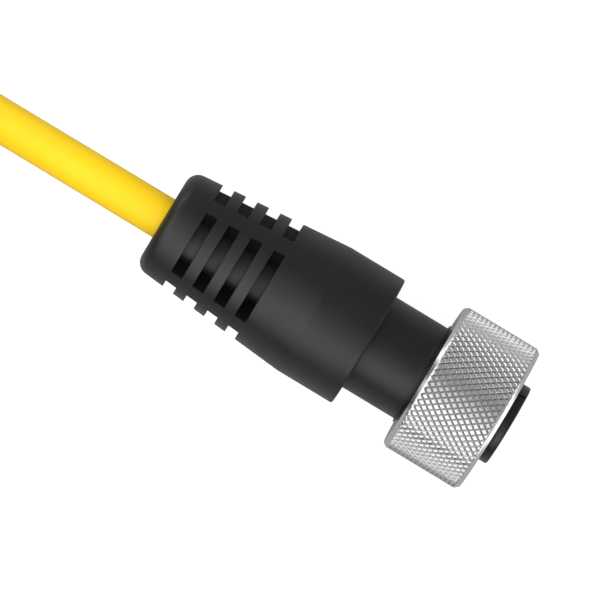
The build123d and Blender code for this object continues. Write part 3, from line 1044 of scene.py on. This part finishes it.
class CONNECTOR_OT_stage(bpy.types.Operator):
    """Makes the camera, the lights, the world and the floor"""
    bl_idname = "connector_cable.stage"
    bl_label = "Stage"

    def execute(self, context):
        scene, colours = context.scene, context.scene.finishes
        scene.view_settings.view_transform = "Standard"

        view = bpy.data.cameras.new("camera")
        view.lens, view.sensor_width = 500, 36
        view.clip_start, view.clip_end = 0.1, 50
        camera = bpy.data.objects.new("camera", view)
        middle, sideways, picture_width = 25.3 * mm, 0.055 * mm, 95.7 * mm
        slant, tilt = radians(31.1), radians(0.8)
        distance = picture_width * view.lens / view.sensor_width
        camera.location = (
            rear_x + middle - distance * sin(tilt), sideways, axis_z + distance * cos(tilt))
        turn = Matrix.Rotation(-tilt, 3, "Y") @ Matrix.Rotation(slant, 3, "Z")
        camera.rotation_euler = turn.to_euler()
        scene.collection.objects.link(camera)
        scene.camera = camera

        for name, place, size, radiance, mirrored in (
            ("key", (-0.45, -0.54, 0.71), (2.2, 1.1), 1.1, True),
            ("top", (-0.32, -0.27, 0.91), (2.2, 1.1), 0.65, True),
            ("overhead", (0.2, 0.4, 1.5), (1.5, 1.5), 1.4, False),
            ("front_card", (1.0, 0.0, 0.3), (1.8, 0.5), 1.5, True),
            ("rear_card", (-0.87, 0.72, 0.3), (0.9, 0.5), 1.5, True),
        ):
            lamp = bpy.data.lights.new(name, "AREA")
            lamp.shape, lamp.size, lamp.size_y = "RECTANGLE", size[0], size[1]
            lamp.energy = radiance * pi * size[0] * size[1]
            light = bpy.data.objects.new(name, lamp)
            light.location = place
            light.rotation_euler = (Vector((0, 0, 0)) - Vector(place)).to_track_quat("-Z", "Y").to_euler()
            light.visible_camera = False
            light.visible_glossy = mirrored
            scene.collection.objects.link(light)

        world = bpy.data.worlds.new("studio")
        scene.world = world
        world.use_nodes = True
        tree = world.node_tree
        path = add_node(tree, "ShaderNodeLightPath")
        way = add_node(tree, "ShaderNodeTexCoord").outputs["Generated"]
        dark_way = (-0.75, -0.65, -0.5)
        near_dark = add_node(tree, "ShaderNodeVectorMath", {0: way, 1: dark_way}, operation="DOT_PRODUCT")
        dark_side = add_node(tree, "ShaderNodeMapRange", {
            "Value": near_dark.outputs["Value"], "From Min": 0.35, "From Max": 0.6, "To Min": 0.38,
            "To Max": 0.03})
        seen_white = add_node(tree, "ShaderNodeMix", {
            FACTOR: path.outputs["Is Camera Ray"], FIRST: dark_side.outputs[0], SECOND: (1, 1, 1, 1),
        }, data_type="RGBA")
        sky = tree.nodes["Background"]
        tree.links.new(seen_white.outputs[RESULT], sky.inputs["Color"])

        half, white_lift, mirror_lift = 4.0, 0.8, 0.06
        mesh = bpy.data.meshes.new("floor")
        corners = [(-half, -half, 0), (half, -half, 0), (half, half, 0), (-half, half, 0)]
        mesh.from_pydata(corners, [], [(0, 1, 2, 3)])
        floor = bpy.data.objects.new("floor", mesh)
        scene.collection.objects.link(floor)
        paper = bpy.data.materials.new("floor_paper")
        paper.use_nodes = True
        tree = paper.node_tree
        shader = tree.nodes["Principled BSDF"]
        shader.inputs["Base Color"].default_value = (*colours.floor, 1)
        shader.inputs["Roughness"].default_value = 0.9
        shader.inputs["Specular IOR Level"].default_value = 0.0
        path = add_node(tree, "ShaderNodeLightPath")
        seen = add_node(tree, "ShaderNodeMath", {
            0: path.outputs["Is Camera Ray"], 1: path.outputs["Is Transmission Ray"]}, operation="ADD")
        mirrored = add_node(tree, "ShaderNodeMath", {
            0: path.outputs["Is Glossy Ray"], 1: mirror_lift}, operation="MULTIPLY")
        lift = add_node(tree, "ShaderNodeMath", {
            0: seen.outputs[0], 1: white_lift, 2: mirrored.outputs[0]}, operation="MULTIPLY_ADD")
        shader.inputs["Emission Color"].default_value = (1, 1, 1, 1)
        tree.links.new(lift.outputs[0], shader.inputs["Emission Strength"])
        mesh.materials.append(paper)
        return {"FINISHED"}


class CONNECTOR_PT_panel(bpy.types.Panel):
    """Lists the steps that dress the connector cable"""
    bl_idname = "CONNECTOR_PT_panel"
    bl_label = "Connector cable"
    bl_space_type = "VIEW_3D"
    bl_region_type = "UI"
    bl_category = "Connector cable"

    def draw(self, context):
        for operator in OPERATORS:
            self.layout.operator(operator.bl_idname)
        for name, group in GROUPS.items():
            box = self.layout.box()
            box.label(text=group.__doc__)
            for size in group.__annotations__:
                box.prop(getattr(context.scene, name), size)


OPERATORS = (
    CONNECTOR_OT_stage, CONNECTOR_OT_ties, CONNECTOR_OT_cable, CONNECTOR_OT_grip, CONNECTOR_OT_insert,
    CONNECTOR_OT_nut,
)
GROUPS = {
    "grip_sizes": GripSizes, "nut_sizes": NutSizes, "insert_sizes": InsertSizes, "cable_sizes": CableSizes,
    "finishes": Finishes,
}


def register():
    for name, group in GROUPS.items():
        bpy.utils.register_class(group)
        setattr(bpy.types.Scene, name, PointerProperty(type=group))
    for made in (*OPERATORS, CONNECTOR_PT_panel):
        bpy.utils.register_class(made)


def unregister():
    for made in (CONNECTOR_PT_panel, *OPERATORS):
        bpy.utils.unregister_class(made)
    for name, group in GROUPS.items():
        delattr(bpy.types.Scene, name)
        bpy.utils.unregister_class(group)


def main():
    register()
    for step in (
        bpy.ops.connector_cable.stage, bpy.ops.connector_cable.ties, bpy.ops.connector_cable.cable,
        bpy.ops.connector_cable.grip, bpy.ops.connector_cable.insert, bpy.ops.connector_cable.nut,
    ):
        step()


if __name__ == "__main__":
    main()
